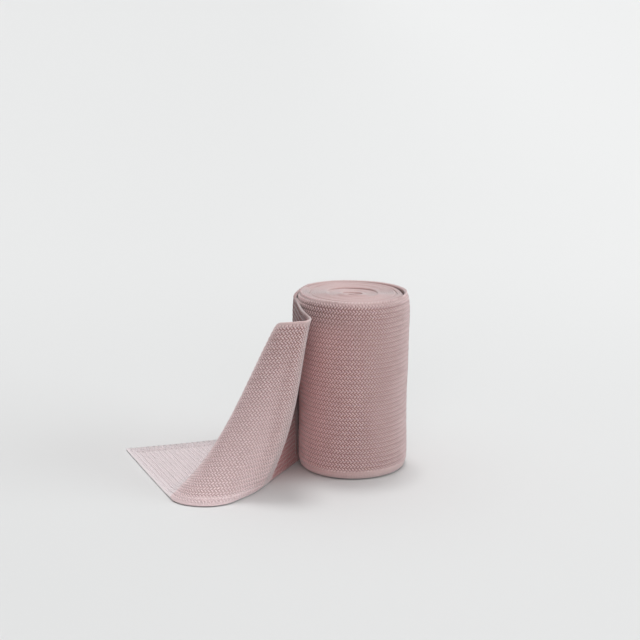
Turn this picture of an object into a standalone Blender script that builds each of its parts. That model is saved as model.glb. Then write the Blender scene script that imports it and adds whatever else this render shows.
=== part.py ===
"""Elastic bandage roll: one knitted strip, wound up, its last stretch folded over beside the roll.

Metres, +Z up. The origin is at the middle of the roll's base, on the surface that it stands on. +X is to
the right and +Y to the back, seen from the side where the strip comes off the roll at the left.
"""
import bisect
import math
from collections import namedtuple

import bmesh
import bpy
from mathutils import Vector

OBJECT_NAME = "elastic_bandage_roll"
MM = 0.001

# The strip: its width is the length of the crossings below
CLOTH = 1.3 * MM
LOOSE_LENGTH = 198.0 * MM
CLOTH_COLOUR = (0.58, 0.39, 0.38, 1.0)
CLOTH_ROUGHNESS = 0.92

# The wound roll: its outermost turn ends at LEAVE_ANGLE, where the strip comes off along -Y
LEAVE_ANGLE = math.pi
ROLL_RADIUS = 31.85 * MM
ROLL_TAPER = 0.6 * MM
ROLL_HEIGHT = 99.7 * MM
SHOULDER_WIDTH = 3.6 * MM
SHOULDER_HEIGHT = 9.2 * MM
SHOULDER_STEPS = 6
FOOT_WIDTH = 2.4 * MM
FOOT_HEIGHT = 7.5 * MM
FOOT_STEPS = 4
RIM_WIDTH = 1.7 * MM
FACE_DROP = 1.1 * MM
FACE_DISH = 0.6 * MM
RIM_MIDDLE_DROP = 0.28 * MM
DISH_SHARE_HALFWAY = 0.75
ROLL_STEPS = 80
WELD_DISTANCE = 0.01 * MM

# The main turns that show on both ends, one groove for every fourth turn of cloth
TURN_PITCH = 4.0 * CLOTH
GROOVE_RADIUS = 0.8 * MM
GROOVE_DEPTH = 0.9 * MM
GROOVE_INNER_RADIUS = 5.5 * MM
GROOVE_STEPS_PER_TURN = 28
STAND_OFF_ANGLE = math.radians(8.0)
STAND_OFF_SPREAD = math.radians(24.0)
STAND_OFF_SWELL = 0.9

# The loose end. Each row is a crossing: a nearly straight line over the cloth, from the edge that stands
# on the floor (low) to the other edge (top), in millimetres. bow moves its middle off the straight line,
# and bow_at is the share of the way up where that is most. The last rows run on past the cut end.
Crossing = namedtuple("Crossing", "place low top bow bow_at")
CROSSINGS = (
    Crossing("off the roll", (-31.7, -0.6, 0.5), (-30.8, -0.6, 96.3), (-1.7, 0.0, 0.0), 0.78),
    Crossing("towards the front", (-39.0, -17.0, 0.5), (-28.7, -18.0, 95.6), (-0.8, -0.5, 0.0), 0.40),
    Crossing("before the crease", (-43.4, -27.0, 0.5), (-26.4, -33.0, 96.2), (-0.5, 0.0, 0.0), 0.35),
    Crossing("crease", (-47.5, -37.0, 0.5), (-22.9, -45.5, 95.9), (4.3, -1.0, 0.0), 0.37),
    Crossing("after the crease", (-52.6, -48.1, 0.5), (-25.0, -51.6, 95.9), (3.6, -1.0, 0.0), 0.38),
    Crossing("right of the face", (-58.6, -56.8, 0.5), (-28.2, -52.7, 95.9), (2.5, 2.0, 0.0), 0.35),
    Crossing("middle of the face", (-67.3, -67.0, 0.5), (-31.4, -53.3, 95.8), (1.5, 5.0, 0.0), 0.35),
    Crossing("left of the face", (-78.0, -70.5, 0.5), (-35.6, -53.0, 95.4), (1.0, 6.0, 0.0), 0.35),
    Crossing("round the nose", (-88.8, -68.0, 0.5), (-38.9, -50.3, 94.4), (2.0, 4.5, -1.0), 0.35),
    Crossing("ridge", (-95.0, -63.0, 0.6), (-40.3, -45.0, 91.4), (3.8, 2.0, -2.0), 0.38),
    Crossing("behind the ridge", (-97.6, -58.0, 0.7), (-40.3, -34.0, 82.6), (3.9, 2.0, -4.0), 0.42),
    Crossing("high on the slope", (-98.8, -55.5, 0.7), (-39.0, -14.6, 67.2), (3.4, 1.0, -6.0), 0.46),
    Crossing("middle of the slope", (-99.8, -53.1, 0.7), (-37.6, 9.0, 49.0), (2.2, 0.0, -6.0), 0.50),
    Crossing("low on the slope", (-100.8, -50.9, 0.7), (-37.6, 34.0, 29.0), (0.6, 0.0, -4.0), 0.50),
    Crossing("far corner", (-101.9, -48.2, 0.7), (-38.8, 60.0, 9.5), (0.0, 0.0, -1.8), 0.50),
    Crossing("down on the floor", (-104.5, -42.0, 0.7), (-50.7, 92.0, 2.0), (0.0, 0.0, 0.0), 0.50),
    Crossing("flat on the floor", (-112.0, -24.0, 0.7), (-64.4, 126.0, 0.8), (0.0, 0.0, 0.0), 0.50),
    Crossing("near cut corner", (-131.0, 22.6, 0.7), (-87.6, 181.0, 0.8), (0.0, 0.0, 0.0), 0.50),
)
CROSSING_STEPS = 24
LENGTH_CELLS = 60
WIDTH_CELLS = 20


def clear_scene():
    for old in list(bpy.data.objects):
        bpy.data.objects.remove(old, do_unlink=True)


def new_collection(name):
    collection = bpy.data.collections.new(name)
    bpy.context.scene.collection.children.link(collection)
    return collection


def cloth_material(name):
    """The dry, dusty pink finish of the knitted strip."""
    material = bpy.data.materials.new(name)
    material.use_nodes = True
    shader = material.node_tree.nodes["Principled BSDF"]
    shader.inputs["Base Color"].default_value = CLOTH_COLOUR
    shader.inputs["Roughness"].default_value = CLOTH_ROUGHNESS
    shader.inputs["Metallic"].default_value = 0.0
    return material


def add_object(name, mesh, collection):
    piece = bpy.data.objects.new(name, mesh)
    collection.objects.link(piece)
    return piece


def mesh_from(name, points, faces):
    mesh = bpy.data.meshes.new(name)
    mesh.from_pydata(points, [], faces)
    mesh.update()
    return mesh


def smooth_between(before, start, end, after, share):
    """A Catmull-Rom value between start and end."""
    straight = (end - before) * share
    curve = (before * 2 - start * 5 + end * 4 - after) * share ** 2
    last = (start * 3 - before - end * 3 + after) * share ** 3
    return start + (straight + curve + last) * 0.5


def arc(centre, width, height, start, end, steps):
    """Points of an elliptic arc as (radius, height), from start to end in quarter turns."""
    points = []
    for step in range(steps + 1):
        angle = math.pi / 2 * (start + (end - start) * step / steps)
        points.append((centre[0] + width * math.cos(angle), centre[1] + height * math.sin(angle)))
    return points


def roll_outline():
    """The roll's half section, from the base's middle to the top's: (radius, height, share of the spiral)."""
    foot_radius = ROLL_RADIUS - ROLL_TAPER
    foot = arc((foot_radius - FOOT_WIDTH, FOOT_HEIGHT), FOOT_WIDTH, FOOT_HEIGHT, -1, 0, FOOT_STEPS)
    shoulder_start = ROLL_HEIGHT - SHOULDER_HEIGHT
    shoulder = arc((ROLL_RADIUS - SHOULDER_WIDTH, shoulder_start), SHOULDER_WIDTH, SHOULDER_HEIGHT,
                   0, 1, SHOULDER_STEPS)
    rim_radius = ROLL_RADIUS - SHOULDER_WIDTH
    face_radius = rim_radius - RIM_WIDTH
    face_height = ROLL_HEIGHT - FACE_DROP
    outline = [(face_radius / 2, 0.0, 0.0)]
    outline += [(radius, height, 1.0) for radius, height in foot]
    outline.append(((foot_radius + ROLL_RADIUS) / 2, (FOOT_HEIGHT + shoulder_start) / 2, 1.0))
    outline += [(radius, height, 1.0) for radius, height in shoulder]
    outline.append((rim_radius - RIM_WIDTH / 2, ROLL_HEIGHT - RIM_MIDDLE_DROP, 0.5))
    outline.append((face_radius, face_height, 0.0))
    outline.append((face_radius / 2, face_height - FACE_DISH * DISH_SHARE_HALFWAY, 0.0))
    return outline


def roll_mesh():
    """The wound form: rings set round the axis, growing by one thickness of cloth in a turn."""
    outline = roll_outline()
    mesh = bmesh.new()
    base_middle = mesh.verts.new((0.0, 0.0, 0.0))
    top_middle = mesh.verts.new((0.0, 0.0, ROLL_HEIGHT - FACE_DROP - FACE_DISH))
    rings = []
    for step in range(ROLL_STEPS + 1):
        turned = step / ROLL_STEPS
        angle = LEAVE_ANGLE + 2 * math.pi * turned
        ring = []
        for radius, height, share in outline:
            reach = radius - CLOTH * share * (1.0 - turned)
            ring.append(mesh.verts.new((reach * math.cos(angle), reach * math.sin(angle), height)))
        rings.append(ring)
    for ring, after in zip(rings, rings[1:] + rings[:1]):
        mesh.faces.new((base_middle, after[0], ring[0]))
        mesh.faces.new((top_middle, ring[-1], after[-1]))
        for low in range(len(outline) - 1):
            mesh.faces.new((ring[low], after[low], after[low + 1], ring[low + 1]))
    bmesh.ops.remove_doubles(mesh, verts=mesh.verts, dist=WELD_DISTANCE)
    bmesh.ops.triangulate(mesh, faces=mesh.faces)
    bmesh.ops.recalc_face_normals(mesh, faces=mesh.faces)
    result = bpy.data.meshes.new("wound_roll")
    mesh.to_mesh(result)
    mesh.free()
    return result


def face_level(radius):
    """The height of the roll's dished top face at a radius."""
    face_radius = ROLL_RADIUS - SHOULDER_WIDTH - RIM_WIDTH
    share = min(1.0, radius / face_radius)
    return ROLL_HEIGHT - FACE_DROP - FACE_DISH * (1.0 - share ** 2)


def groove_cutter(name, level, side, collection):
    """A spiral tube along the main turns of one end, widest where the outermost turn stands off."""
    outer_radius = ROLL_RADIUS - SHOULDER_WIDTH - RIM_WIDTH
    turns = (outer_radius - GROOVE_INNER_RADIUS) / TURN_PITCH
    count = int(turns * GROOVE_STEPS_PER_TURN) + 1
    curve = bpy.data.curves.new(name, "CURVE")
    curve.dimensions = "3D"
    curve.bevel_depth = GROOVE_RADIUS
    curve.bevel_resolution = 1
    curve.use_fill_caps = True
    spline = curve.splines.new("POLY")
    spline.points.add(count - 1)
    for index, point in enumerate(spline.points):
        turned = 2 * math.pi * index / GROOVE_STEPS_PER_TURN
        radius = outer_radius - TURN_PITCH * turned / (2 * math.pi)
        angle = -turned
        height = level(radius) + side * (GROOVE_RADIUS - GROOVE_DEPTH)
        point.co = (radius * math.cos(angle), radius * math.sin(angle), height, 1.0)
        point.radius = 1.0 + STAND_OFF_SWELL * math.exp(-((turned - STAND_OFF_ANGLE) / STAND_OFF_SPREAD) ** 2)
    tube = add_object(name + "_curve", curve, collection)
    bpy.context.view_layer.update()
    solid = bpy.data.meshes.new_from_object(tube.evaluated_get(bpy.context.evaluated_depsgraph_get()))
    bpy.data.objects.remove(tube, do_unlink=True)
    welded = bmesh.new()
    welded.from_mesh(solid)
    bmesh.ops.remove_doubles(welded, verts=welded.verts, dist=WELD_DISTANCE)
    bmesh.ops.recalc_face_normals(welded, faces=welded.faces)
    welded.to_mesh(solid)
    welded.free()
    cutter = add_object(name, solid, collection)
    cutter.display_type = "WIRE"
    cutter.hide_render = True
    return cutter


def wound_roll(collection, cutters, material):
    """The wound strip as one solid, with its main turns cut into both ends."""
    roll = add_object("wound_roll", roll_mesh(), collection)
    roll.data.materials.append(material)
    ends = (("top_turns", face_level, 1.0), ("base_turns", lambda radius: 0.0, -1.0))
    for name, level, side in ends:
        cut = roll.modifiers.new(name, "BOOLEAN")
        cut.operation = "DIFFERENCE"
        cut.solver = "EXACT"
        cut.object = groove_cutter(name, level, side, cutters)
    return roll


def crossing_value(part, index, share):
    """A crossing's low, top or bow point between two rows, smoothly, in metres."""
    last = len(CROSSINGS) - 1
    start = Vector(getattr(CROSSINGS[index], part))
    end = Vector(getattr(CROSSINGS[index + 1], part))
    before = Vector(getattr(CROSSINGS[index - 1], part)) if index else start * 2 - end
    after = Vector(getattr(CROSSINGS[index + 2], part)) if index + 2 <= last else end * 2 - start
    return smooth_between(before, start, end, after, share) * MM


def fine_crossings():
    """Crossings at even steps between the rows, each with its distance along both edges of the strip."""
    fine = []
    low_run = 0.0
    top_run = 0.0
    for index in range(len(CROSSINGS) - 1):
        first, second = CROSSINGS[index], CROSSINGS[index + 1]
        steps = CROSSING_STEPS + (1 if index == len(CROSSINGS) - 2 else 0)
        for step in range(steps):
            share = step / CROSSING_STEPS
            low = crossing_value("low", index, share)
            top = crossing_value("top", index, share)
            bow = crossing_value("bow", index, share)
            bow_at = first.bow_at + (second.bow_at - first.bow_at) * share
            if fine:
                low_run += (low - fine[-1]["low"]).length
                top_run += (top - fine[-1]["top"]).length
            fine.append({"low": low, "top": top, "bow": bow, "bow_at": bow_at,
                         "low_run": low_run, "top_run": top_run})
    return fine


def bow_share(across, bow_at):
    """How much of its bow a crossing has at a share of the width: 0 at both edges, 1 at bow_at."""
    power = (1.0 - bow_at) / bow_at
    return across * (1.0 - across) ** power / (bow_at * (1.0 - bow_at) ** power)


def crossing_point(crossing, across):
    straight = crossing["low"].lerp(crossing["top"], across)
    return straight + crossing["bow"] * bow_share(across, crossing["bow_at"])


def cloth_point(fine, along, across):
    """The point of the loose end's middle layer at a distance along the strip and a share of its width."""
    runs = [row["low_run"] * (1.0 - across) + row["top_run"] * across for row in fine]
    index = min(max(bisect.bisect_right(runs, along) - 1, 0), len(fine) - 2)
    share = (along - runs[index]) / (runs[index + 1] - runs[index])
    return crossing_point(fine[index], across).lerp(crossing_point(fine[index + 1], across), share)


def loose_end(collection, material):
    """The strip off the roll: an open sheet on the crossings, given the cloth's thickness."""
    fine = fine_crossings()
    points = []
    for column in range(LENGTH_CELLS + 1):
        for row in range(WIDTH_CELLS + 1):
            points.append(cloth_point(fine, LOOSE_LENGTH * column / LENGTH_CELLS, row / WIDTH_CELLS))
    stride = WIDTH_CELLS + 1
    faces = []
    for column in range(LENGTH_CELLS):
        for row in range(WIDTH_CELLS):
            corner = column * stride + row
            faces.append((corner, corner + stride, corner + stride + 1, corner + 1))
    sheet = add_object("loose_end", mesh_from("loose_end", points, faces), collection)
    sheet.data.materials.append(material)
    sheet.data.shade_smooth()
    thickness = sheet.modifiers.new("cloth", "SOLIDIFY")
    thickness.thickness = CLOTH
    thickness.offset = 0.0
    thickness.use_even_offset = True
    return sheet


def main():
    clear_scene()
    parts = new_collection(OBJECT_NAME)
    cutters = new_collection("cutters")
    material = cloth_material("dusty_pink_knit")
    wound_roll(parts, cutters, material)
    loose_end(parts, material)


main()
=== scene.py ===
"""Looks of the elastic bandage roll, laid out as a Blender add-on and run as a script.

The strip is one length of knitted cloth, wound up, its last stretch folded over beside the roll. Any
point of it has a place in the strip's own flat measure: along is the distance from the line where it
leaves the roll, below zero on the roll, and across is the share of its width, from the edge that
stands on the floor. Shapes are worked out in millimetres and become metres in their meshes.
"""
import math
from collections import namedtuple

import bpy
import numpy as np
from bpy.props import FloatProperty, FloatVectorProperty, IntProperty, PointerProperty
from bpy.types import Operator, Panel, PropertyGroup
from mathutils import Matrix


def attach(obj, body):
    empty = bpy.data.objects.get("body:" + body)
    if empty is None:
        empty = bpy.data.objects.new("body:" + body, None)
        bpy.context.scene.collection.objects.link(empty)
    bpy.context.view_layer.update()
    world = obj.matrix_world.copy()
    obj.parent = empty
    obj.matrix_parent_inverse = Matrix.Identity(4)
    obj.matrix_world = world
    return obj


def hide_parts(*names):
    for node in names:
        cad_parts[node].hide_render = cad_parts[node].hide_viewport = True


bl_info = {
    "name": "Elastic bandage roll",
    "version": (1, 0, 0),
    "blender": (4, 5, 0),
    "location": "View3D > Sidebar > Bandage",
    "description": "A wound strip of elastic knit with its loose end folded over beside it",
    "category": "Object",
}

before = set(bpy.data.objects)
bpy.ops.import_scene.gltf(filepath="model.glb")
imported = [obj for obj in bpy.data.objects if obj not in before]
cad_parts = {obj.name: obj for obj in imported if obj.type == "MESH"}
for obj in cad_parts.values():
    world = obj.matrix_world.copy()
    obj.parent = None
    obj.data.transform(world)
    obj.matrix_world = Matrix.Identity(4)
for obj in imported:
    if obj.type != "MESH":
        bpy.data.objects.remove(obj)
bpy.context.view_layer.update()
MM = 0.001

# The loose end, as in the part's source. Each row is a crossing: a nearly straight line over the cloth,
# from the edge that stands on the floor (low) to the other edge (top), in millimetres. bow moves its
# middle off the straight line, and bow_at is the share of the way up where that is most. The last rows
# run on past the cut end.
Crossing = namedtuple("Crossing", "place low top bow bow_at")
CROSSINGS = (
    Crossing("off the roll", (-31.7, -0.6, 0.5), (-30.8, -0.6, 96.3), (-1.7, 0.0, 0.0), 0.78),
    Crossing("towards the front", (-39.0, -17.0, 0.5), (-28.7, -18.0, 95.6), (-0.8, -0.5, 0.0), 0.40),
    Crossing("before the crease", (-43.4, -27.0, 0.5), (-26.4, -33.0, 96.2), (-0.5, 0.0, 0.0), 0.35),
    Crossing("crease", (-47.5, -37.0, 0.5), (-22.9, -45.5, 95.9), (4.3, -1.0, 0.0), 0.37),
    Crossing("after the crease", (-52.6, -48.1, 0.5), (-25.0, -51.6, 95.9), (3.6, -1.0, 0.0), 0.38),
    Crossing("right of the face", (-58.6, -56.8, 0.5), (-28.2, -52.7, 95.9), (2.5, 2.0, 0.0), 0.35),
    Crossing("middle of the face", (-67.3, -67.0, 0.5), (-31.4, -53.3, 95.8), (1.5, 5.0, 0.0), 0.35),
    Crossing("left of the face", (-78.0, -70.5, 0.5), (-35.6, -53.0, 95.4), (1.0, 6.0, 0.0), 0.35),
    Crossing("round the nose", (-88.8, -68.0, 0.5), (-38.9, -50.3, 94.4), (2.0, 4.5, -1.0), 0.35),
    Crossing("ridge", (-95.0, -63.0, 0.6), (-40.3, -45.0, 91.4), (3.8, 2.0, -2.0), 0.38),
    Crossing("behind the ridge", (-97.6, -58.0, 0.7), (-40.3, -34.0, 82.6), (3.9, 2.0, -4.0), 0.42),
    Crossing("high on the slope", (-98.8, -55.5, 0.7), (-39.0, -14.6, 67.2), (3.4, 1.0, -6.0), 0.46),
    Crossing("middle of the slope", (-99.8, -53.1, 0.7), (-37.6, 9.0, 49.0), (2.2, 0.0, -6.0), 0.50),
    Crossing("low on the slope", (-100.8, -50.9, 0.7), (-37.6, 34.0, 29.0), (0.6, 0.0, -4.0), 0.50),
    Crossing("far corner", (-101.9, -48.2, 0.7), (-38.8, 60.0, 9.5), (0.0, 0.0, -1.8), 0.50),
    Crossing("down on the floor", (-104.5, -42.0, 0.7), (-50.7, 92.0, 2.0), (0.0, 0.0, 0.0), 0.50),
    Crossing("flat on the floor", (-112.0, -24.0, 0.7), (-64.4, 126.0, 0.8), (0.0, 0.0, 0.0), 0.50),
    Crossing("near cut corner", (-131.0, 22.6, 0.7), (-87.6, 181.0, 0.8), (0.0, 0.0, 0.0), 0.50),
)
CROSSING_STEPS = 24

# The wound strip, in millimetres: its middle layer ends at OUTER_RADIUS, TURN_PITCH further out each turn.
# The outermost turn is a piece of its own, which starts OUTER_START turns back.
OUTER_RADIUS = 31.2
TURN_PITCH = 1.3
CORE_RADIUS = 1.1
LEAVE_ANGLE = math.pi + CROSSINGS[0].low[1] / CROSSINGS[0].low[0]
LEAVE_LENGTH = 20.0
OUTER_START = 1.08
TURN_STEPS = 72
INNER_EDGE_HALF = 0.6

# Its section: a foot and a shoulder, each rounded by (inset, height), and the straight side between them
FOOT = (1.9, 6.7)
FOOT_TOP = 7.5
SHOULDER = (2.95, 8.55)
SHOULDER_BASE = 90.0
SECTION_TURN = math.radians(80)
SECTION_STEPS = 24

# Its upper part, which sets in below the shoulder's base, is lifted: all round, more at the front on the
# outer turns, and more at the left
UPPER_FROM = 30.0
UPPER_SPAN = 38.0
LIFT = 0.35
FRONT_LIFT = 0.8
INNER_FRONT = 0.3
FRONT_TURNS = 3.0
LEFT_LIFT = 0.45
LEFT_FROM = 0.3
LEFT_SPAN = 0.9

# How the turns wander up and down: (size, rate, start)
WANDERS = ((0.10, 7.1, 0.0), (0.08, 17.3, 1.0))

# At the right the outermost shoulder stands off, and the next two are drawn in: (turns in, share)
STAND_OFF = 0.29
STAND_OFF_TURN = 0.467
STAND_OFF_SPREAD = 0.045
STAND_OFF_SHARES = ((0.0, -1.0), (1.0, 1.0), (2.0, 0.6))

# The slit at the middle: how far it opens to each side, the radius at which it ends, how square its ends are
SLIT_HALF = 2.2
SLIT_FADES_AT = 16.0
SLIT_SQUARE = 2.5

# How far the tops of the inner turns lie below the outermost one: (radius, drop), from the outside in
TOP_DROPS = ((31.2, 0.0), (29.9, 0.0), (29.6, 1.4), (28.9, 1.4), (28.7, 0.1), (26.0, 0.1), (25.8, 0.9),
             (24.7, 0.9), (24.5, 0.0), (14.4, -0.1), (14.1, 1.0), (4.6, 0.4), (4.0, 1.2), (0.0, 1.3))

# How far the roll's side is drawn in at each height
SIDE_DRAWS = ((0.0, 0.6), (14.0, 0.6), (28.0, 0.95), (42.0, 0.95), (56.0, 0.4), (72.0, 0.1), (86.0, -0.25),
              (100.0, -0.25))

# Points over the width: how many round each edge, where they are near it in millimetres, how many between
Rows = namedtuple("Rows", "round near between")
KNIT_ROWS = Rows(5, (0.9, 1.5, 2.1, 3.0, 3.9, 4.8, 6.0), 36)
INNER_ROWS = Rows(4, (2.0, 4.5, 8.0, 12.0), 3)

# The plain bands along the edges go over into the ground in BAND_FADE, BAND_OVER nearer to the top edge
BAND_FADE = 0.8
BAND_OVER = 0.3

# Stitches are bent onto a patch, a face of the strip with points PATCH_STEP apart. It runs on past them by
# STITCH_MARGIN and lies PATCH_HALF or more off the middle layer. Its very border isn't used
STITCH_MARGIN = 3.0
PATCH_OVER = 0.5
PATCH_STEP = 0.92
PATCH_EDGE = 0.5
PATCH_HALF = 0.1
PATCH_INSET = 0.0002

# Pale: past the ridge the strip comes down on the floor, which shows through it, and it is also painted
# lighter there; low on the standing face it is painted a little lighter, which is painted light only
PAST_RIDGE = 4.0
RIDGE_TURN = 2.0
LYING_UNDER = 16.0
CREASE_TURN = 24.0
FACE_TOP = 120.0
FACE_PAINTED_LIGHT = 0.55

# Flat: the knit is pulled flat by the crease, in a band that is wider at the middle of the strip's width
CREASE_FLAT = 0.85
FLAT_FROM = -2.0
FLAT_IN = 1.5
FLAT_OUT = 2.5
FLAT_WIDTH = 11.0
FLAT_SWELL = 5.0
SWELL_AT = 0.55
SWELL_SPREAD = 0.25

# Deep and shade: two layers lie close from the roll to the crease, with a dark gap open at the top
# Both are painted: deep is painted shade and red light off the cloth between the layers, shade is painted
# shade in the gap's open top
DEEP_FROM = -20.0
DEEP_FULL = 6.0
DEEP_FADE = 9.0
DEEP_TOP = 0.988
DEEP_EDGE = 0.8
DEEP_FLAT = 0.65
SHADE_FROM = 0.72
SHADE_SPAN = 0.12

# Glow: red light from the cloth that faces it, round the roll from its left and low on the standing face
GLOW_ROUND = 60.0
GLOW_BEHIND = 14.0
GLOW_IN = 8.0
GLOW_TOP = 0.82
GLOW_TOP_SPAN = 0.12
GLOW_FACE = 0.32

# How stitches differ: in streaks along their rows, and each from the next
STREAK_ALONG = 60.0
STREAK_ACROSS = 900.0
STREAK_GROWTH = 3.0
OWN_GROWTH = 0.4
OWN_TURN = 0.12
STREAK_TINT = 2.4
OWN_TINT = 0.45
TINT_SHIFT = -0.7
TINT_SEED = 7

# Stitches this pale or less keep their whole relief
WHOLE_RELIEF = 0.55

# The last stretch of the loose end has no ribs, and the thread's middle lies THREAD_BACK from the cut
HEM = 8.5
THREAD_BACK = 4.2
THREAD_STITCHES = 60

# Places of the outermost stitches from the strip's edges, in metres
THREAD_INSET = 0.002
EDGE_INSET = 0.0018

# The yarn's plies and how far they turn over a stitch, and how fast the fuzz, the fibres' grey look painted
# as sheen, fades from a low angle
PLIES = 2.0
PLY_TWIST = 22.0
FUZZ_POWER = 3.0

FLOOR_SIDES = 64

# The lamps are far off: spread is how large each looks, height its angle over the floor, and bearing its
# angle round from the camera's side towards the right, all in degrees
Lamp = namedtuple("Lamp", "name strength spread height bearing colour")
LAMPS = (
    Lamp("top_lamp", 1.0, 14.0, 81.0, 185.0, (1.0, 1.0, 1.0)),
    Lamp("wide_lamp", 1.6, 100.0, 82.0, 180.0, (1.0, 1.0, 1.0)),
    Lamp("side_lamp", 1.25, 45.0, 15.0, 75.0, (0.92, 1.0, 1.0)),
    Lamp("front_lamp", 0.70, 40.0, 20.0, 0.0, (1.0, 1.0, 1.0)),
)


def ease(share):
    """A smooth step from 0 to 1."""
    share = np.clip(share, 0.0, 1.0)
    return share * share * (3.0 - 2.0 * share)


def bell(value, middle, spread):
    """A smooth bump, 1 at its middle."""
    return np.exp(-((value - middle) / spread) ** 2)


def smooth_curve(rows, steps):
    """Points at even steps on a Catmull-Rom curve through rows."""
    rows = np.asarray(rows, float)
    run = np.vstack([2.0 * rows[0] - rows[1], rows, 2.0 * rows[-1] - rows[-2]])
    share = np.arange(steps)[:, None] / steps
    pieces = []
    for before, start, end, after in zip(run, run[1:], run[2:], run[3:]):
        straight = (end - before) * share
        curve = (before * 2.0 - start * 5.0 + end * 4.0 - after) * share ** 2
        last = (start * 3.0 - before - end * 3.0 + after) * share ** 3
        pieces.append(start + (straight + curve + last) * 0.5)
    pieces.append(rows[-1:])
    return np.vstack(pieces)


def run_along(points):
    """The distance along a row of points, from the first."""
    return np.concatenate([[0.0], np.cumsum(np.linalg.norm(np.diff(points, axis=0), axis=1))])


def follow(runs, points, along):
    """Points at distances along a curve, carried straight on past both of its ends."""
    reach = 20.0
    first = points[0] - (points[1] - points[0]) / (runs[1] - runs[0]) * reach
    last = points[-1] + (points[-1] - points[-2]) / (runs[-1] - runs[-2]) * reach
    runs = np.concatenate([[runs[0] - reach], runs, [runs[-1] + reach]])
    points = np.vstack([first, points, last])
    return np.stack([np.interp(along, runs, points[:, axis]) for axis in range(3)], axis=-1)


def edge_curves():
    """The loose end's low and top edges, fine."""
    low = smooth_curve([row.low for row in CROSSINGS], CROSSING_STEPS)
    top = smooth_curve([row.top for row in CROSSINGS], CROSSING_STEPS)
    return low, top


def past_row(place, along, across):
    """How far each point of the flat strip lies past one row of the crossings."""
    number = [row.place for row in CROSSINGS].index(place) * CROSSING_STEPS
    low_run, top_run = (run_along(edge)[number] for edge in edge_curves())
    return along[:, None] - low_run * (1.0 - across) - top_run * across


def loose_points(along, across):
    """The loose end's middle layer, an array [along, across, xyz]."""
    low, top = edge_curves()
    bow = smooth_curve([row.bow for row in CROSSINGS], CROSSING_STEPS)
    steps = np.arange(len(low)) / CROSSING_STEPS
    bow_at = np.interp(steps, np.arange(len(CROSSINGS)), [row.bow_at for row in CROSSINGS])
    power = (1.0 - bow_at) / bow_at
    low_run = run_along(low)
    top_run = run_along(top)
    lines = []
    for share in across:
        rise = share * (1.0 - share) ** power / (bow_at * (1.0 - bow_at) ** power)
        line = low * (1.0 - share) + top * share + bow * rise[:, None]
        lines.append(follow(low_run * (1.0 - share) + top_run * share, line, along))
    return np.stack(lines, axis=1)


def section():
    """The wound strip's section as (share of the width, inset from the side, height)."""
    foot = np.linspace(-SECTION_TURN, 0.0, SECTION_STEPS)
    shoulder = np.linspace(0.0, SECTION_TURN, SECTION_STEPS)
    inset = np.concatenate([FOOT[0] * (1.0 - np.cos(foot)), SHOULDER[0] * (1.0 - np.cos(shoulder))])
    foot_height = FOOT_TOP + FOOT[1] * np.sin(foot)
    height = np.concatenate([foot_height, SHOULDER_BASE + SHOULDER[1] * np.sin(shoulder)])
    run = run_along(np.stack([inset, height], axis=1))
    return run / run[-1], inset, height


def wound_points(back, across):
    """The middle layer of the wound strip, back turns from its outer end: an array [back, across, xyz]."""
    places, insets, heights = section()
    inset = np.interp(across, places, insets)[None, :]
    height = np.interp(across, places, heights)[None, :]
    back = np.asarray(back, float)[:, None]
    side = OUTER_RADIUS - TURN_PITCH * back
    angle = LEAVE_ANGLE - 2.0 * math.pi * back
    stand_off = 1.0
    for turns, share in STAND_OFF_SHARES:
        stand_off = stand_off + STAND_OFF * share * bell(back, STAND_OFF_TURN + turns, STAND_OFF_SPREAD)
    draws = np.array(SIDE_DRAWS)
    drawn = np.interp(height, draws[:, 0], draws[:, 1])
    drawn = drawn + np.where(height > SHOULDER_BASE, inset * stand_off, inset)
    radius = side - drawn * side / OUTER_RADIUS
    drops = np.array(TOP_DROPS[::-1])
    drop = np.interp(side, drops[:, 0], drops[:, 1])
    wander = sum(size * np.sin(back * rate + start) for size, rate, start in WANDERS)
    outermost = 1.0 - ease((back - 1.0) / FRONT_TURNS)
    lift = FRONT_LIFT * (0.5 - 0.5 * np.sin(angle)) * (INNER_FRONT + (1.0 - INNER_FRONT) * outermost)
    lift = lift + LIFT + LEFT_LIFT * ease((LEFT_FROM - np.cos(angle)) / LEFT_SPAN)
    upper = ease((height - SHOULDER_BASE + UPPER_FROM) / UPPER_SPAN)
    level = height + (wander - drop + lift) * upper
    slit = SLIT_HALF * (1.0 - side / SLIT_FADES_AT).clip(0.0)
    x = radius * np.cos(angle) + slit * np.tanh(SLIT_SQUARE * np.cos(angle))
    y = radius * np.sin(angle)
    return np.stack([x, y, level], axis=-1)


def turns_back(length):
    """How many turns a length along the wound strip goes back from its outer end."""
    return (OUTER_RADIUS - np.sqrt(OUTER_RADIUS ** 2 - TURN_PITCH * length / math.pi)) / TURN_PITCH


def length_back(turns):
    """The length along the wound strip to a place that is so many turns back from its outer end."""
    return 2.0 * math.pi * OUTER_RADIUS * turns - math.pi * TURN_PITCH * turns ** 2


def leaving_points(along, across):
    """The stretch where the strip comes off the roll: a smooth curve from the roll to the loose end."""
    step = 0.5
    start = wound_points(turns_back(np.array([LEAVE_LENGTH, LEAVE_LENGTH - step])), across)
    end = loose_points(np.array([0.0, step]), across)
    out = (start[1] - start[0]) / step * LEAVE_LENGTH
    into = (end[1] - end[0]) / step * LEAVE_LENGTH
    share = (1.0 + along / LEAVE_LENGTH)[:, None, None]
    return (
        start[0] * (2.0 * share ** 3 - 3.0 * share ** 2 + 1.0)
        + out * (share ** 3 - 2.0 * share ** 2 + share)
        + end[0] * (3.0 * share ** 2 - 2.0 * share ** 3)
        + into * (share ** 3 - share ** 2)
    )


def strip_points(along, across):
    """The strip's middle layer on either side of the line where it leaves the roll."""
    wound = along < -LEAVE_LENGTH
    loose = along >= 0.0
    leaving = ~wound & ~loose
    points = np.empty((len(along), len(across), 3))
    points[wound] = wound_points(turns_back(-along[wound]), across)
    points[leaving] = leaving_points(along[leaving], across)
    points[loose] = loose_points(along[loose], across)
    return points


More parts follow.
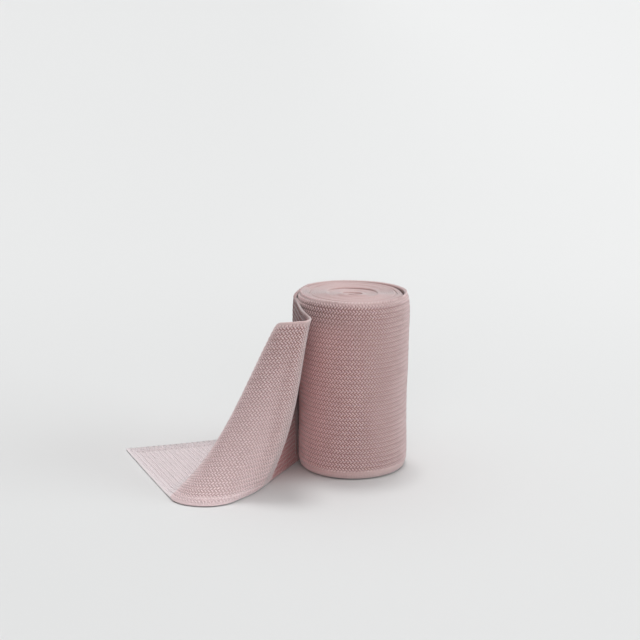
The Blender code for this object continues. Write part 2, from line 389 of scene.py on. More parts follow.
def layer_normals(points):
    """Unit normals of a grid of points, on the side that faces away from the roll."""
    normals = np.cross(np.gradient(points, axis=0), np.gradient(points, axis=1))
    return normals / np.linalg.norm(normals, axis=-1, keepdims=True)


def flat_share(along, across):
    """How flat the knit is pulled at each point: most where the strip is bent over at the crease."""
    past = past_row("crease", along, across) - FLAT_FROM
    width = FLAT_WIDTH + FLAT_SWELL * bell(across, SWELL_AT, SWELL_SPREAD)
    return CREASE_FLAT * ease(past / FLAT_IN + 1.0) * ease((width - past) / FLAT_OUT)


def deep_shade_share(along, across):
    """How far each point is down between two layers, where painted shade and the painted red light off the
    cloth itself go.
    """
    from_roll = ease((along - DEEP_FROM) / (DEEP_FULL - DEEP_FROM))[:, None]
    to_crease = ease(-past_row("crease", along, across) / DEEP_FADE)
    bright_edge = 1.0 - DEEP_EDGE * ease((across - DEEP_TOP) / (1.0 - DEEP_TOP))
    return from_roll * to_crease * bright_edge


def shares(points, along, across):
    """The values that each mesh of the strip carries, by name, each from 0 to 1.

    Pale is where the cloth lies on the pale floor, which shows through it, with painted light, and less of
    it, painted light only, low on the standing face. Glow is painted red light where red cloth faces it. Deep
    is painted shade and red light where the cloth is down between two layers, shade is painted shade in the
    dark of that gap's open top, and flat is where the relief is lost.
    """
    past_ridge = past_row("ridge", along, across) - PAST_RIDGE
    lying = ease(past_ridge / RIDGE_TURN) * ease((LYING_UNDER - points[..., 2]) / LYING_UNDER)
    on_face = ease(past_row("crease", along, across) / CREASE_TURN)
    on_face = on_face * ease((FACE_TOP - points[..., 2]) / FACE_TOP)
    round_roll = along + length_back(1.0)
    on_roll = (1.0 - ease(round_roll / GLOW_ROUND)) * ease((round_roll + GLOW_BEHIND) / GLOW_IN)
    on_roll = on_roll[:, None] * (1.0 - ease((across - GLOW_TOP) / GLOW_TOP_SPAN))
    deep = deep_shade_share(along, across)
    return {
        "pale": np.maximum(lying, FACE_PAINTED_LIGHT * on_face),
        "glow": np.maximum(on_roll, GLOW_FACE * on_face * (1.0 - lying)),
        "flat": np.maximum(flat_share(along, across), DEEP_FLAT * deep),
        "deep": deep,
        "shade": deep * ease((across - SHADE_FROM) / SHADE_SPAN),
    }


def set_values(mesh, name, values):
    """Gives each vertex of a mesh a value of this name."""
    layer = mesh.attributes.new(name, "FLOAT", "POINT")
    layer.data.foreach_set("value", values.astype(np.float32).ravel())


def set_map(mesh, name, places):
    """Gives a mesh a UV map of this name from a place for each vertex."""
    corners = np.empty(len(mesh.loops), dtype=np.int32)
    mesh.loops.foreach_get("vertex_index", corners)
    layer = mesh.uv_layers.new(name=name)
    layer.data.foreach_set("uv", places.reshape(-1, 2)[corners].astype(np.float32).ravel())


def shares_across(width, edge_half, rows):
    """Shares of the width, close together round both edges and near them."""
    turns = np.radians(np.linspace(0.0, 90.0, rows.round))
    near = np.concatenate([edge_half * (1.0 - np.cos(turns)), rows.near])
    between = np.linspace(near[-1], width - near[-1], rows.between)[1:-1]
    return np.concatenate([near, between, (width - near)[::-1]]) / width


def rounded_half(across, width, edge_half):
    """Half the thickness at each share of the width of a strip that only has its edges rounded."""
    place = across * width
    from_edge = np.minimum(place, width - place)
    return np.sqrt(np.clip(edge_half ** 2 - (edge_half - from_edge).clip(0.0) ** 2, 0.0, None))


def half_thickness(across, strip):
    """Half the cloth's thickness at each share of the width: thicker at the edges, which are rounded."""
    width = strip.width / MM
    place = across * width
    edge_half = strip.edge_thickness / MM / 2.0
    ground_half = strip.ground_thickness / MM / 2.0
    past_low = ease((place - strip.low_edge / MM) / BAND_FADE)
    before_top = ease((width - place - strip.top_edge / MM + BAND_OVER) / BAND_FADE)
    flat = edge_half + (ground_half - edge_half) * past_low * before_top
    return np.minimum(flat, rounded_half(across, width, edge_half))


def there_and_back(values):
    """Values over the width of one face, and back over the other."""
    return np.concatenate([values, values[..., -2:0:-1]], axis=-1)


def closed_strip(name, points, half, along, across, width):
    """A strip with thickness: points is its middle layer. Its map named strip has its places in metres."""
    normals = layer_normals(points)
    outer = points + normals * half[None, :, None]
    inner = points - normals * half[None, :, None]
    rings = np.concatenate([outer, inner[:, -2:0:-1]], axis=1) * MM
    columns, ring = rings.shape[:2]
    faces = []
    for column in range(columns - 1):
        base = column * ring
        for corner in range(ring):
            after = (corner + 1) % ring
            faces.append((base + corner, base + ring + corner, base + ring + after, base + after))
    for base, flip in ((0, False), ((columns - 1) * ring, True)):
        for corner in range(len(across) - 1):
            low_back = (ring - corner) % ring
            high_back = ring - corner - 1
            corners = (base + corner, base + corner + 1, base + high_back, base + low_back)
            face = tuple(dict.fromkeys(corners))
            faces.append(face[::-1] if flip else face)
    mesh = bpy.data.meshes.new(name)
    mesh.from_pydata(rings.reshape(-1, 3).tolist(), [], faces)
    places = np.empty((columns, ring, 2))
    places[:, :, 0] = along[:, None] * MM
    places[:, :, 1] = there_and_back(across)[None, :] * width
    set_map(mesh, "strip", places)
    for key, share in shares(points, along, across).items():
        set_values(mesh, key, there_and_back(share))
    mesh.shade_smooth()
    return mesh


def set_bands(mesh, across, strip):
    """The second material on a closed strip's ends and on the faces within its plain edges."""
    ring_across = there_and_back(across)
    middle = (ring_across + np.roll(ring_across, -1)) / 2.0 * strip.width
    plain = (middle < strip.low_edge + MM * BAND_FADE / 2.0) | (middle > strip.width - strip.top_edge)
    columns = len(mesh.vertices) // len(plain) - 1
    numbers = np.ones(len(mesh.polygons), dtype=np.int32)
    numbers[:columns * len(plain)] = np.tile(plain, columns)
    mesh.polygons.foreach_set("material_index", numbers)


def add_piece(name, mesh, finishes=()):
    """An object in the scene, at the origin."""
    piece = bpy.data.objects.new(name, mesh)
    bpy.context.scene.collection.objects.link(piece)
    for finish in finishes:
        mesh.materials.append(finish)
    return piece


def finish_piece(piece, node):
    """Says what a piece moves with and which node it replaces."""
    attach(piece, "root")
    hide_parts(node)
    return piece


class Tree:
    """Adds nodes to a node tree, each with its inputs given by name or place."""

    def __init__(self, tree):
        self.tree = tree

    def fill(self, node, inputs):
        for key, value in inputs.items():
            if isinstance(value, bpy.types.NodeSocket):
                self.tree.links.new(value, node.inputs[key])
            else:
                node.inputs[key].default_value = value
        return node

    def add(self, kind, inputs=None, **settings):
        node = self.tree.nodes.new(kind)
        for key, value in settings.items():
            setattr(node, key, value)
        return self.fill(node, inputs or {})

    def math(self, operation, first, second=0.0, third=0.0):
        values = {0: first, 1: second, 2: third}
        return self.add("ShaderNodeMath", values, operation=operation).outputs[0]

    def times(self, first, second, plus=None):
        """The first times the second, and plus a third."""
        if plus is None:
            return self.math("MULTIPLY", first, second)
        return self.math("MULTIPLY_ADD", first, second, plus)

    def vector(self, **parts):
        return self.add("ShaderNodeCombineXYZ", parts).outputs[0]

    def split(self, vector):
        return self.add("ShaderNodeSeparateXYZ", {0: vector}).outputs

    def here(self):
        return self.add("GeometryNodeInputPosition").outputs[0]

    def named(self, name, kind="FLOAT"):
        node = self.add("GeometryNodeInputNamedAttribute", {"Name": name}, data_type=kind)
        return node.outputs["Attribute"]

    def store(self, geometry, name, value, kind="FLOAT", domain="POINT"):
        inputs = {"Geometry": geometry, "Name": name, "Value": value}
        return self.add("GeometryNodeStoreNamedAttribute", inputs, data_type=kind, domain=domain).outputs[0]

    def any_number(self, most, seed):
        inputs = {"Min": -most, "Max": most, "Seed": seed}
        return self.add("FunctionNodeRandomValue", inputs, data_type="FLOAT").outputs["Value"]


SOCKETS = {int: "NodeSocketInt", float: "NodeSocketFloat", bool: "NodeSocketBool"}
STITCH_INPUTS = {
    "Columns": 100, "Rows": 2, "Pitch": 0.00184, "Row gap": 0.00136, "First along": 0.0, "First across": 0.0,
    "Length": 0.002, "Width": 0.001, "Height": 0.0007, "Heading": 1.0, "Tilt": 0.0, "Lift": 0.0,
    "Set on": 0.0, "Pairing": 0.0, "Unevenness": 0.1, "Lying relief": 0.5, "Inner face": False, "Seed": 1,
    "Sheet length": 0.2, "Sheet width": 0.1,
}


def one_stitch(tree, given):
    """A spindle along X. Each of its points keeps its place in the yarn."""
    ball = tree.add("GeometryNodeMeshUVSphere", {"Segments": 6, "Rings": 3, "Radius": 0.5})
    spindle = tree.add("GeometryNodeTransform", {
        "Geometry": ball.outputs["Mesh"], "Rotation": (0.0, math.pi / 2, 0.0)})
    marked = tree.store(spindle.outputs[0], "yarn", tree.here(), "FLOAT_VECTOR")
    size = tree.vector(X=given["Length"], Y=given["Width"], Z=given["Height"])
    return tree.add("GeometryNodeTransform", {"Geometry": marked, "Scale": size}).outputs[0]


def flat_rows(tree, given, stitch):
    """Stitches in flat rows: X is along the sheet and Y across it."""
    reach_x = tree.times(tree.math("SUBTRACT", given["Columns"], 1.0), given["Pitch"])
    reach_y = tree.times(tree.math("SUBTRACT", given["Rows"], 1.0), given["Row gap"])
    grid = tree.add("GeometryNodeMeshGrid", {
        "Size X": reach_x, "Size Y": reach_y, "Vertices X": given["Columns"], "Vertices Y": given["Rows"]})
    middle_x = tree.times(reach_x, 0.5, given["First along"])
    middle_y = tree.times(reach_y, 0.5, given["First across"])
    middle = tree.vector(X=middle_x, Y=middle_y, Z=given["Lift"])
    places = tree.add("GeometryNodeTransform", {"Geometry": grid.outputs["Mesh"], "Translation": middle})
    # Every second row slants the other way and is set on by part of a pitch
    spot = tree.split(tree.here())
    row = tree.math("DIVIDE", tree.math("SUBTRACT", spot["Y"], given["First across"]), given["Row gap"])
    odd = tree.math("FLOORED_MODULO", tree.math("ROUND", row), 2.0)
    set_on = tree.times(tree.times(odd, given["Set on"]), given["Pitch"])
    closer = tree.times(tree.times(odd, given["Pairing"]), -1.0)
    places = tree.add("GeometryNodeSetPosition", {
        "Geometry": places.outputs[0], "Offset": tree.vector(X=set_on, Y=closer)})
    side = tree.times(odd, -2.0, 1.0)
    turn = tree.times(side, tree.math("SUBTRACT", given["Heading"], math.pi / 2), math.pi / 2)
    tip = tree.times(tree.times(side, given["Tilt"]), -1.0)
    # How they differ
    slow_x = tree.times(spot["X"], STREAK_ALONG)
    slow_y = tree.times(spot["Y"], STREAK_ACROSS)
    slow = tree.vector(X=slow_x, Y=slow_y, Z=given["Seed"])
    streak = tree.add("ShaderNodeTexNoise", {"Vector": slow, "Scale": 1.0, "Detail": 1.0}).outputs["Fac"]
    own = tree.any_number(1.0, given["Seed"])
    growth = tree.times(tree.math("SUBTRACT", streak, 0.5), STREAK_GROWTH, tree.times(own, OWN_GROWTH))
    grown = tree.times(growth, given["Unevenness"], 1.0)
    rows = tree.add("GeometryNodeInstanceOnPoints", {
        "Points": places.outputs[0], "Instance": stitch,
        "Rotation": tree.vector(Y=tip, Z=tree.times(own, OWN_TURN, turn)),
        "Scale": tree.vector(X=1.0, Y=grown, Z=grown)})
    own_tint = tree.math("ADD", tree.any_number(OWN_TINT, TINT_SEED), TINT_SHIFT)
    tint = tree.times(streak, STREAK_TINT, own_tint)
    tinted = tree.store(rows.outputs[0], "tint", tint, domain="INSTANCE")
    return tree.add("GeometryNodeRealizeInstances", {0: tinted}).outputs[0]


def bent_rows(tree, given, rows):
    """Flat rows bent onto the sheet, with the sheet's values."""
    spot = tree.split(tree.here())
    over = {}
    for axis, reach in (("X", "Sheet length"), ("Y", "Sheet width")):
        share = tree.math("DIVIDE", spot[axis], given[reach])
        over[axis] = tree.math("MINIMUM", tree.math("MAXIMUM", share, PATCH_INSET), 1.0 - PATCH_INSET)
    over = tree.vector(**over)
    sheet_map = tree.named("sheet", "FLOAT_VECTOR")
    wanted = {"place": tree.here(), "facing": tree.named("facing", "FLOAT_VECTOR")}
    for key in ("pale", "flat", "glow", "deep", "shade"):
        wanted[key] = tree.named(key)
    found = {}
    for key, value in wanted.items():
        kind = "FLOAT_VECTOR" if key in ("place", "facing") else "FLOAT"
        inputs = {"Mesh": given["Sheet"], "Value": value, "Source UV Map": sheet_map, "Sample UV": over}
        found[key] = tree.add("GeometryNodeSampleUVSurface", inputs, data_type=kind).outputs["Value"]
    kept = tree.add("ShaderNodeMapRange", {
        0: found["pale"], 1: WHOLE_RELIEF, 2: 1.0, 3: 1.0, 4: given["Lying relief"]}).outputs[0]
    height = tree.times(spot["Z"], tree.math("SUBTRACT", kept, found["flat"]))
    raised = tree.add("ShaderNodeVectorMath", {0: found["facing"], "Scale": height}, operation="SCALE")
    place = tree.add("ShaderNodeVectorMath", {0: found["place"], 1: raised.outputs[0]}, operation="ADD")
    for key in ("pale", "glow", "deep", "shade"):
        rows = tree.store(rows, key, found[key])
    bent = tree.add("GeometryNodeSetPosition", {"Geometry": rows, "Position": place.outputs[0]})
    # On the inner face the bending mirrors each stitch, so its faces are turned to point outwards again
    outward = tree.add("GeometryNodeFlipFaces", {"Mesh": bent.outputs[0], "Selection": given["Inner face"]})
    return outward.outputs[0]


def stitch_tree():
    """Rows of plump stitches, laid out flat and then bent onto the sheet that the modifier is on."""
    name = "Rows of stitches"
    if name in bpy.data.node_groups:
        return bpy.data.node_groups[name]
    group = bpy.data.node_groups.new(name, "GeometryNodeTree")
    group.interface.new_socket("Sheet", in_out="INPUT", socket_type="NodeSocketGeometry")
    for label, default in STITCH_INPUTS.items():
        socket = group.interface.new_socket(label, in_out="INPUT", socket_type=SOCKETS[type(default)])
        socket.default_value = default
    group.interface.new_socket("Yarn", in_out="INPUT", socket_type="NodeSocketMaterial")
    group.interface.new_socket("Stitches", in_out="OUTPUT", socket_type="NodeSocketGeometry")
    tree = Tree(group)
    given = tree.add("NodeGroupInput").outputs
    rows = flat_rows(tree, given, one_stitch(tree, given))
    bent = bent_rows(tree, given, rows)
    smooth = tree.add("GeometryNodeSetShadeSmooth", {"Geometry": bent, "Shade Smooth": True})
    done = tree.add("GeometryNodeSetMaterial", {"Geometry": smooth.outputs[0], "Material": given["Yarn"]})
    tree.add("NodeGroupOutput", {0: done.outputs[0]})
    return group


# A face of a stretch of the strip: its start and length in millimetres, its side (1 is away from the roll)
# and how much of the stitches' relief is left where it lies on the floor
Face = namedtuple("Face", "start length side relief")


def patch_mesh(name, face, strip):
    """A face of the strip with its normals and a map from 0 to 1, and its length in metres."""
    start = face.start - STITCH_MARGIN
    reach = face.length + 2 * STITCH_MARGIN
    along = np.arange(start, start + reach + PATCH_OVER, PATCH_STEP)
    across = shares_across(strip.width / MM, PATCH_EDGE, KNIT_ROWS)
    points = strip_points(along, across)
    normals = layer_normals(points) * face.side
    half = np.maximum(half_thickness(across, strip), PATCH_HALF)
    surface = (points + normals * half[None, :, None]) * MM
    columns, rows = surface.shape[:2]
    faces = []
    for column in range(columns - 1):
        for row in range(rows - 1):
            corner = column * rows + row
            corners = (corner, corner + rows, corner + rows + 1, corner + 1)
            faces.append(corners if face.side > 0 else corners[::-1])
    mesh = bpy.data.meshes.new(name)
    mesh.from_pydata(surface.reshape(-1, 3).tolist(), [], faces)
    places = np.empty((columns, rows, 2))
    places[:, :, 0] = ((along - start) / (along[-1] - start))[:, None]
    places[:, :, 1] = across[None, :]
    set_map(mesh, "sheet", places)
    facing = mesh.attributes.new("facing", "FLOAT_VECTOR", "POINT")
    facing.data.foreach_set("vector", normals.astype(np.float32).ravel())
    for key, share in shares(points, along, across).items():
        set_values(mesh, key, share)
    return mesh, (along[-1] - start) * MM


def stitch_piece(name, node, face, sizes, finish, strip):
    """A piece of stitches on one face of the strip, from the tree with these sizes."""
    patch, patch_length = patch_mesh(name + "_patch", face, strip)
    sizes = {
        **sizes, "Sheet length": patch_length, "Sheet width": strip.width, "Lying relief": face.relief,
        "Inner face": face.side < 0, "Yarn": materials(strip)[finish],
    }
    base = add_piece(patch.name, patch)
    modifier = base.modifiers.new("stitches", "NODES")
    modifier.node_group = stitch_tree()
    for item in modifier.node_group.interface.items_tree:
        if item.in_out == "INPUT" and item.name in sizes:
            modifier[item.identifier] = sizes[item.name]
    bpy.context.view_layer.update()
    shown = base.evaluated_get(bpy.context.evaluated_depsgraph_get())
    mesh = bpy.data.meshes.new_from_object(shown)
    mesh.name = name
    bpy.data.objects.remove(base, do_unlink=True)
    bpy.data.meshes.remove(patch)
    return finish_piece(add_piece(name, mesh), node)


def knit_piece(name, node, along, strip):
    """A stretch of the strip as the ground of the knit, coloured as painted shade between the stitches, with
    its plain edges.
    """
    width = strip.width / MM
    across = shares_across(width, strip.edge_thickness / MM / 2.0, KNIT_ROWS)
    points = strip_points(along, across)
    mesh = closed_strip(name, points, half_thickness(across, strip), along, across, strip.width)
    set_bands(mesh, across, strip)
    finishes = materials(strip)
    return finish_piece(add_piece(name, mesh, [finishes["knit_ground_shade"], finishes["edge_knit"]]), node)


def rib_sizes(stitches, strip, columns, seed, more_ribs=0, top_rows=0):
    """Sizes for the ribs of one face, and for more ribs on its plain lower edge or rows on its top edge."""
    row_gap = stitches.rib_width / 2.0
    low_edge = strip.low_edge - more_ribs * stitches.rib_width
    return {
        "Columns": columns, "Rows": 2 * (stitches.ribs + more_ribs) + top_rows,
        "Pitch": stitches.pitch, "Row gap": row_gap,
        "First along": STITCH_MARGIN * MM + stitches.pitch / 2.0, "First across": low_edge + row_gap / 2.0,
        "Length": stitches.length, "Width": stitches.width, "Height": stitches.height,
        "Heading": stitches.heading, "Tilt": stitches.tilt, "Set on": stitches.set_on,
        "Pairing": stitches.pairing, "Unevenness": stitches.unevenness, "Seed": seed,
    }


def edge_sizes(stitches, strip, columns, seed):
    """Sizes for two rows of short stitches straight across the plain edges, two to each column of ribs."""
    return {
        "Columns": columns * 2, "Rows": 2,
        "Pitch": stitches.pitch / 2.0, "Row gap": strip.width - 2.0 * EDGE_INSET,
        "First along": STITCH_MARGIN * MM + stitches.pitch / 4.0, "First across": EDGE_INSET,
        "Length": 0.0033, "Width": 0.0009, "Height": 0.00034, "Heading": math.pi / 2,
        "Unevenness": 0.05, "Seed": seed,
    }


def thread_sizes(strip, seed):
    """Sizes for one row of long stitches over the cut end."""
    return {
        "Columns": 1, "Rows": THREAD_STITCHES,
        "Row gap": (strip.width - 2.0 * THREAD_INSET) / (THREAD_STITCHES - 1),
        "First along": (STITCH_MARGIN + strip.loose_length / MM - THREAD_BACK) * MM,
        "First across": THREAD_INSET, "Lift": 0.0001,
        "Length": 0.0086, "Width": 0.0014, "Height": 0.0006, "Heading": 0.15,
        "Unevenness": 0.05, "Seed": seed,
    }


def new_material(name):
    """A new material, its tree and its shader."""
    material = bpy.data.materials.new(name)
    material.use_nodes = True
    return material, Tree(material.node_tree), material.node_tree.nodes["Principled BSDF"]


def cloth_material(name, colour, second, paling, twisted, strip):
    """Knitted cloth: two close colours mixed softly, fibres in relief, painted light and shade from the
    strip's values, the fibres' grey look at a low angle as painted sheen, and a pale bloom at a low angle.

    Twisted cloth is stitches, which have their tint and their place in the yarn: it shows two plies, with
    painted shade in the valleys between them.
    """
    material, tree, shader = new_material(name)
    spot = tree.add("ShaderNodeTexCoord").outputs["Object"]
    mottle = tree.add("ShaderNodeTexNoise", {"Vector": spot, "Scale": 55.0, "Detail": 3.0, "Roughness": 0.6})
    fibre = tree.add("ShaderNodeTexNoise", {"Vector": spot, "Scale": 4200.0, "Detail": 2.0, "Roughness": 0.6})
    height = fibre.outputs["Fac"]
    to_second = tree.times(mottle.outputs["Fac"], 0.8, -0.15)
    if twisted:
        tint = tree.add("ShaderNodeAttribute", attribute_name="tint").outputs["Fac"]
        yarn = tree.split(tree.add("ShaderNodeAttribute", attribute_name="yarn").outputs["Vector"])
        round_it = tree.math("ARCTAN2", yarn["Z"], yarn["Y"])
        phase = tree.times(yarn["X"], PLY_TWIST, tree.times(round_it, PLIES))
        ply = tree.times(tree.math("SINE", phase), 0.5, 0.5)
        height = tree.times(height, 0.7, ply)
        to_second = tree.times(tint, 0.8, tree.math("SUBTRACT", to_second, 0.4))
        # Painted shade: the colour goes towards the darker second colour in the valleys between the plies
        to_second = tree.times(ply, -0.3, tree.math("ADD", to_second, 0.15))
    mix = tree.add("ShaderNodeMix", {0: to_second, 6: (*colour, 1.0), 7: (*second, 1.0)}, data_type="RGBA")
    shown = mix.outputs[2]
    grazing = tree.add("ShaderNodeLayerWeight", {"Blend": 0.5}).outputs["Facing"]
    # Painted light and shade over the colour: pale, glow, deep and shade, and last the fuzz, a painted sheen
    layers = (
        ("pale", strip.pale_colour, paling),
        ("glow", strip.glow_colour, strip.glowing),
        ("deep", strip.deep_shade_colour, strip.deep_shade_cover),
        ("shade", strip.shade_colour, strip.shading),
        (None, strip.fuzz_sheen_colour, strip.fuzz_sheen),
    )
    for key, over, cover in layers:
        if key:
            share = tree.add("ShaderNodeAttribute", attribute_name=key).outputs["Fac"]
        else:
            share = tree.math("POWER", grazing, FUZZ_POWER)
        inputs = {0: tree.times(share, cover), 6: shown, 7: (*over, 1.0)}
        shown = tree.add("ShaderNodeMix", inputs, data_type="RGBA").outputs[2]
    relief = tree.add("ShaderNodeBump", {"Height": height, "Strength": 0.8, "Distance": 0.00012})
    tree.fill(shader, {
        "Base Color": shown, "Normal": relief.outputs[0], "Roughness": 0.92, "Specular IOR Level": 0.25,
        "Sheen Weight": strip.sheen, "Sheen Roughness": 0.45, "Sheen Tint": (1.0, 0.97, 0.97, 1.0),
    })
    return material


def materials(strip):
    """The strip's finishes by name, made once."""
    made = {}
    wanted = (
        ("pink_yarn", strip.yarn_colour, strip.yarn_second, strip.paling, True),
        ("knit_ground_shade", strip.ground_shade_colour, strip.ground_shade_second, strip.ground_paling, False),
        ("edge_knit", strip.edge_colour, strip.yarn_second, strip.paling, False),
        ("end_thread", strip.thread_colour, strip.edge_colour, strip.ground_paling, True),
    )
    for name, colour, second, paling, twisted in wanted:
        made[name] = bpy.data.materials.get(name) or cloth_material(
            name, tuple(colour), tuple(second), paling, twisted, strip)
    return made


def length_property(name, description, default):
    return FloatProperty(name=name, description=description, default=default, unit="LENGTH")


def share_property(name, description, default):
    return FloatProperty(
        name=name, description=description, default=default, min=0.0, max=1.0, subtype="FACTOR")


def colour_property(name, description, default):
    return FloatVectorProperty(
        name=name, description=description, default=default, size=3, subtype="COLOR")


class StripSettings(PropertyGroup):
    width: length_property("Width", "Width of the strip", 0.100)
    loose_length: length_property("Loose length", "Length of the strip that is off the roll", 0.198)
    ground_thickness: length_property(
        "Ground thickness", "Thickness of the cloth between its stitches", 0.00076)
    edge_thickness: length_property("Edge thickness", "Thickness of the plain edges", 0.0011)
    low_edge: length_property("Lower edge", "Width of the plain band along the lower edge", 0.0040)
    top_edge: length_property("Top edge", "Width of the plain band along the top edge", 0.0014)
    yarn_colour: colour_property("Yarn", "Colour of the yarn", (0.82, 0.62, 0.62))
    yarn_second: colour_property("Yarn, second", "Second colour of the yarn", (0.62, 0.42, 0.42))
    # Painted shade: the ground shows only between the stitches and is coloured dark where those gaps fall in
    # shade
    ground_shade_colour: colour_property("Ground", "Colour between the stitches", (0.36, 0.18, 0.17))
    ground_shade_second: colour_property(
        "Ground, second", "Second colour between the stitches", (0.28, 0.13, 0.12))
    edge_colour: colour_property("Edge", "Colour of the plain edges", (0.64, 0.46, 0.45))
    thread_colour: colour_property("Thread", "Colour of the thread over the cut end", (0.52, 0.42, 0.45))
    # Pale: the floor showing through where the strip lies, with painted light, and painted light only low on
    # the standing face
    pale_colour: colour_property(
        "Pale", "Colour of the strip where the pale floor shows through", (1.0, 0.90, 0.92))
    paling: share_property("Paling", "How much the pale colour covers the yarn where the strip lies", 0.97)
    ground_paling: share_property(
        "Ground paling", "How much it covers the ground and the end's thread there", 0.72)
    glow_colour: colour_property("Glow", "Colour of the strip where red cloth faces it", (1.0, 0.50, 0.50))
    glowing: share_property("Glowing", "How much the glow colour covers the strip there", 0.42)
    # Painted shade and red light between two close layers
    deep_shade_colour: colour_property("Deep", "Colour of the strip between two close layers", (0.44, 0.08, 0.08))
    deep_shade_cover: share_property("Deepening", "How much the deep colour covers the strip there", 0.82)
    # Painted shade inside the fold's open top
    shade_colour: colour_property(
        "Shade", "Colour of the strip inside the fold's open top", (0.20, 0.07, 0.07))
    shading: share_property("Shading", "How much the shade colour covers the strip there", 0.90)
    # Fuzz: the fibres' grey look at a low angle, painted as sheen
    fuzz_sheen_colour: colour_property(
        "Fuzz", "Colour of the loose fibres, seen at a low angle", (0.42, 0.40, 0.41))
    fuzz_sheen: share_property("Fuzz cover", "How much the fibres cover at a low angle", 0.8)
    sheen: share_property("Bloom", "Pale bloom of the fibres at a low angle", 0.8)


class StitchSettings(PropertyGroup):
    pitch: length_property("Pitch", "Distance between stitches along the strip", 0.00184)
    rib_width: length_property("Rib width", "Width of one rib, two rows of stitches", 0.0027)
    ribs: IntProperty(name="Ribs", description="Number of ribs across the strip", default=35)
    length: length_property("Length", "Length of a stitch", 0.0023)
    width: length_property("Width", "Width of a stitch", 0.00098)
    height: length_property("Height", "Thickness of a stitch", 0.00108)
    heading: FloatProperty(
        name="Heading", description="Angle of a stitch to the strip's length", default=math.radians(42),
        subtype="ANGLE")
    tilt: FloatProperty(
        name="Tilt", description="How far a stitch dips towards the rib's side", default=math.radians(17),
        subtype="ANGLE")
    set_on: share_property("Set on", "Share of a pitch that every second row is set on by", 0.5)
    pairing: length_property("Pairing", "How much closer the two rows of a rib lie together", 0.00003)
    unevenness: share_property("Unevenness", "Share by which stitches differ", 0.15)


class StageSettings(PropertyGroup):
    floor_radius: length_property("Floor radius", "Radius of the floor", 30.0)
    floor_shade: share_property("Floor", "Brightness of the floor, front left", 0.73)
    # Painted light on the floor: brighter to the right and to the back
    floor_light_rise: share_property(
        "Floor rise", "How much brighter the floor gets to the right, and to the back", 0.05)
    sky: share_property("Sky", "Brightness of the soft light from all round", 0.06)
    camera_place: FloatVectorProperty(
        name="Camera", description="Where the camera stands", default=(-0.018, -0.840, 0.294), size=3,
        subtype="TRANSLATION")
    camera_dip: FloatProperty(
        name="Camera dip", description="Angle that the camera looks down", default=math.radians(14.08),
        subtype="ANGLE")
    camera_lens: FloatProperty(
        name="Lens", description="Focal length of the camera in millimetres", default=87.98)


class BANDAGE_OT_wound_turns(Operator):
    """The inner turns of the strip, wound from the middle out"""

    bl_idname = "object.bandage_wound_turns"
    bl_label = "Wound turns"

    def execute(self, context):
        strip = context.scene.bandage_strip
        last = (OUTER_RADIUS - CORE_RADIUS) / TURN_PITCH
        back = np.linspace(last, OUTER_START, round((last - OUTER_START) * TURN_STEPS) + 1)
        width = strip.width / MM
        across = shares_across(width, INNER_EDGE_HALF, INNER_ROWS)
        half = rounded_half(across, width, INNER_EDGE_HALF)
        points = wound_points(back, across)
        mesh = closed_strip("wound_turns", points, half, -length_back(back), across, strip.width)
        finish_piece(add_piece("wound_turns", mesh, [materials(strip)["edge_knit"]]), "wound_roll")
        return {"FINISHED"}


class BANDAGE_OT_outer_turn(Operator):
    """The outermost turn, with its knit standing out on the side that shows"""

    bl_idname = "object.bandage_outer_turn"
    bl_label = "Outer turn"

    def execute(self, context):
        strip = context.scene.bandage_strip
        stitches = context.scene.bandage_stitches
        pitch = stitches.pitch / MM
        columns = round(length_back(OUTER_START) / pitch)
        length = columns * pitch
        knit_piece("outer_turn", "wound_roll", np.linspace(-length, 0.0, 2 * columns + 1), strip)
        face = Face(start=-length, length=length, side=1.0, relief=0.5)
        ribs = rib_sizes(stitches, strip, columns, seed=1, top_rows=1)
        edges = edge_sizes(stitches, strip, columns, seed=2)
        stitch_piece("outer_turn_stitches", "wound_roll", face, ribs, "pink_yarn", strip)
        stitch_piece("outer_turn_edges", "wound_roll", face, edges, "edge_knit", strip)
        return {"FINISHED"}


class BANDAGE_OT_loose_end(Operator):
    """The loose end as one folded sheet, knitted on both faces"""

    bl_idname = "object.bandage_loose_end"
    bl_label = "Loose end"

    def execute(self, context):
        strip = context.scene.bandage_strip
        stitches = context.scene.bandage_stitches
        pitch = stitches.pitch / MM
        length = strip.loose_length / MM
        columns = int((length - HEM) / pitch)
        along = np.concatenate([np.arange(0.0, length, pitch / 2.0), [length]])
        sheet = knit_piece("loose_end_cloth", "loose_end", along, strip)
        ribs = rib_sizes(stitches, strip, columns, seed=3, more_ribs=1)
        edges = edge_sizes(stitches, strip, columns + 2, seed=4)
        thread = thread_sizes(strip, seed=4)
        for label, side, relief in (("inner", -1.0, 0.6), ("outer", 1.0, 0.15)):
            face = Face(start=0.0, length=length, side=side, relief=relief)
            wanted = (
                ("loose_end_" + label + "_stitches", ribs, "pink_yarn"),
                ("loose_end_" + label + "_edges", edges, "edge_knit"),
                ("cut_end_" + label + "_thread", thread, "end_thread"),
            )
            for name, sizes, finish in wanted:
                stitch_piece(name, "loose_end", face, sizes, finish, strip)
        return {"FINISHED"}


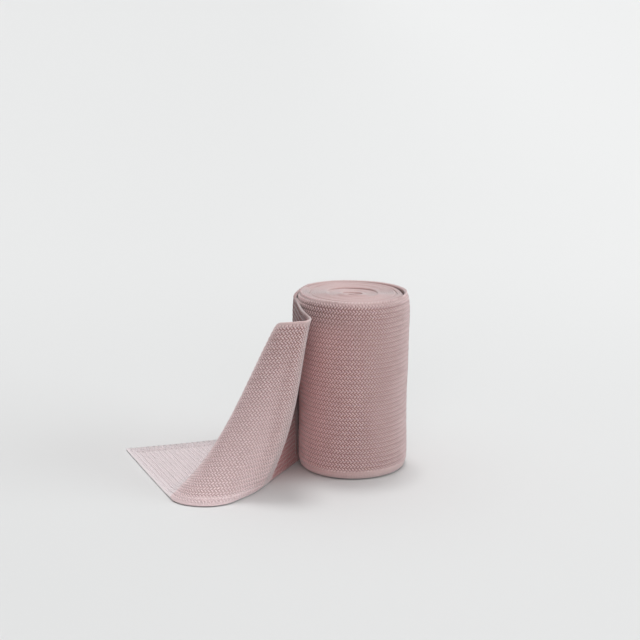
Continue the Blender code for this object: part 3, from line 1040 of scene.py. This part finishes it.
class BANDAGE_OT_stage(Operator):
    """Floor, light and camera"""

    bl_idname = "scene.bandage_stage"
    bl_label = "Stage"

    def execute(self, context):
        stage = context.scene.bandage_stage
        self.floor(stage)
        self.light(context, stage)
        self.camera(context, stage)
        return {"FINISHED"}

    def floor(self, stage):
        corners = []
        for step in range(FLOOR_SIDES):
            angle = 2.0 * math.pi * step / FLOOR_SIDES
            corners.append((stage.floor_radius * math.cos(angle), stage.floor_radius * math.sin(angle), 0.0))
        mesh = bpy.data.meshes.new("floor")
        mesh.from_pydata(corners, [], [tuple(range(FLOOR_SIDES))])
        material, tree, shader = new_material("pale_floor")
        spot = tree.split(tree.add("ShaderNodeTexCoord").outputs["Object"])
        # Painted light: the floor's grey is made brighter to the right and to the back
        light_rises = []
        for axis, start, end in (("X", -0.20, 0.45), ("Y", -0.15, 0.60)):
            inputs = {0: spot[axis], 1: start, 2: end, 3: 0.0, 4: stage.floor_light_rise}
            rise = tree.add("ShaderNodeMapRange", inputs, interpolation_type="SMOOTHSTEP")
            light_rises.append(rise.outputs[0])
        shade = tree.math("ADD", tree.math("ADD", *light_rises), stage.floor_shade)
        grey = tree.add("ShaderNodeCombineColor", {0: shade, 1: shade, 2: shade})
        tree.fill(shader, {"Base Color": grey.outputs[0], "Roughness": 0.9, "Specular IOR Level": 0.0})
        add_piece("floor", mesh, [material])

    def light(self, context, stage):
        world = bpy.data.worlds.new("soft_sky")
        context.scene.world = world
        world.use_nodes = True
        world.node_tree.nodes["Background"].inputs["Color"].default_value = (stage.sky,) * 3 + (1.0,)
        for row in LAMPS:
            lamp = bpy.data.lights.new(row.name, "SUN")
            lamp.energy = row.strength
            lamp.color = row.colour
            lamp.angle = math.radians(row.spread)
            holder = bpy.data.objects.new(row.name, lamp)
            holder.rotation_euler = (math.radians(90.0 - row.height), 0.0, math.radians(row.bearing))
            context.scene.collection.objects.link(holder)
        context.scene.view_settings.view_transform = "Standard"

    def camera(self, context, stage):
        data = bpy.data.cameras.new("camera")
        data.sensor_width = 36.0
        data.lens = stage.camera_lens
        holder = bpy.data.objects.new("camera", data)
        holder.location = stage.camera_place
        holder.rotation_euler = (math.pi / 2 - stage.camera_dip, 0.0, 0.0)
        context.scene.collection.objects.link(holder)
        context.scene.camera = holder


class BANDAGE_PT_panel(Panel):
    bl_idname = "VIEW3D_PT_bandage"
    bl_label = "Elastic bandage roll"
    bl_space_type = "VIEW_3D"
    bl_region_type = "UI"
    bl_category = "Bandage"

    def draw(self, context):
        for step in STEPS:
            self.layout.operator(step.bl_idname)


STEPS = (BANDAGE_OT_stage, BANDAGE_OT_wound_turns, BANDAGE_OT_outer_turn, BANDAGE_OT_loose_end)
CLASSES = (StripSettings, StitchSettings, StageSettings, *STEPS, BANDAGE_PT_panel)


def register():
    for kind in CLASSES:
        bpy.utils.register_class(kind)
    bpy.types.Scene.bandage_strip = PointerProperty(type=StripSettings)
    bpy.types.Scene.bandage_stitches = PointerProperty(type=StitchSettings)
    bpy.types.Scene.bandage_stage = PointerProperty(type=StageSettings)


def unregister():
    del bpy.types.Scene.bandage_stage
    del bpy.types.Scene.bandage_stitches
    del bpy.types.Scene.bandage_strip
    for kind in reversed(CLASSES):
        bpy.utils.unregister_class(kind)


def main():
    register()
    bpy.ops.scene.bandage_stage()
    bpy.ops.object.bandage_wound_turns()
    bpy.ops.object.bandage_outer_turn()
    bpy.ops.object.bandage_loose_end()


if __name__ == "__main__":
    main()
